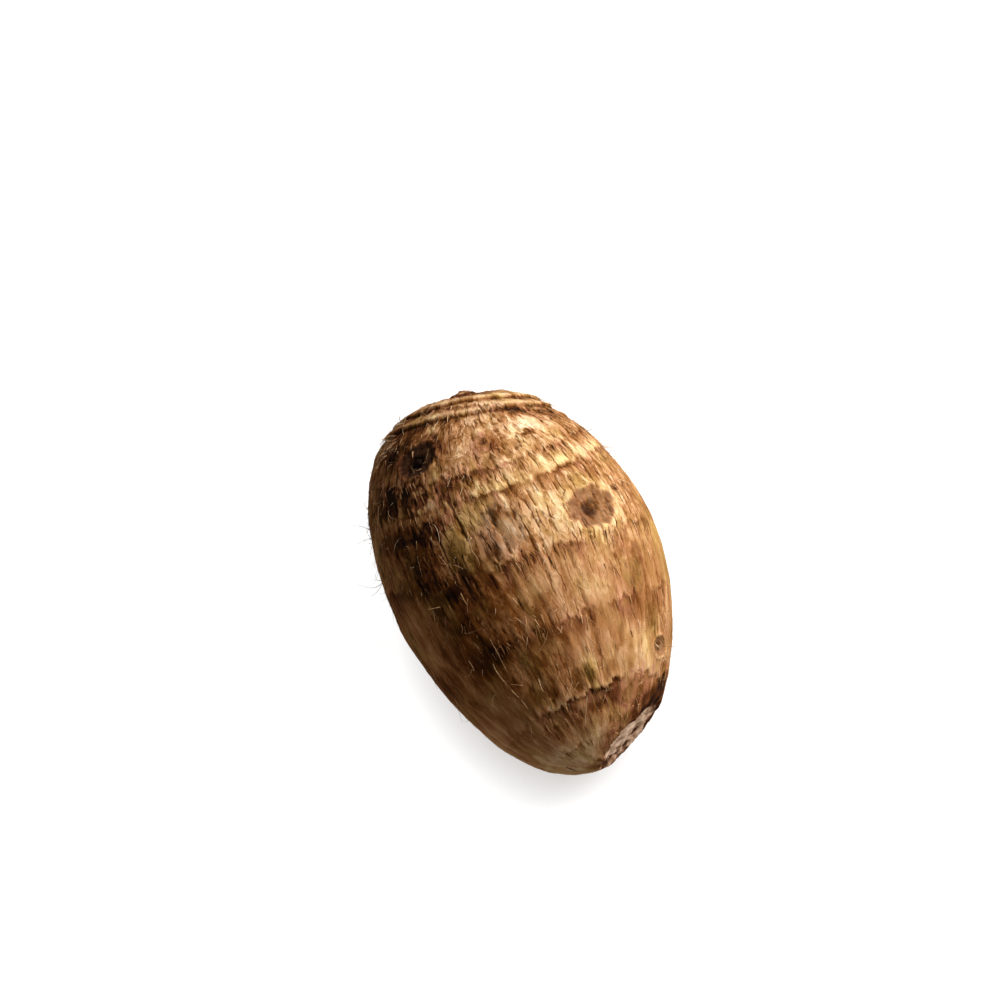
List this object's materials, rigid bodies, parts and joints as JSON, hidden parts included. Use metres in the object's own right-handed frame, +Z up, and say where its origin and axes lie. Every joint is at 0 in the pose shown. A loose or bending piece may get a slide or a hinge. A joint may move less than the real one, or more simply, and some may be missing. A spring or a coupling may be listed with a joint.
{
  "type": "taro root",
  "caption": "Whole hairy brown taro corm, egg-shaped with ring scars and bud eyes, lying on its flattened belly.",
  "frame": {"origin": "under the middle of the bounding box, on the surface the corm rests on", "axes": "+Z up; +X along the corm from its crown towards its broken root end; +Y to the side"},
  "size_m": [0.1084, 0.0734, 0.0705],
  "materials": {
    "skin": "dry, fibrous, ringed brown bark-like skin, matte with a faint waxy sheen"
  },
  "bodies": {
    "root": {"corm": "skin"}
  },
  "joints": []
}
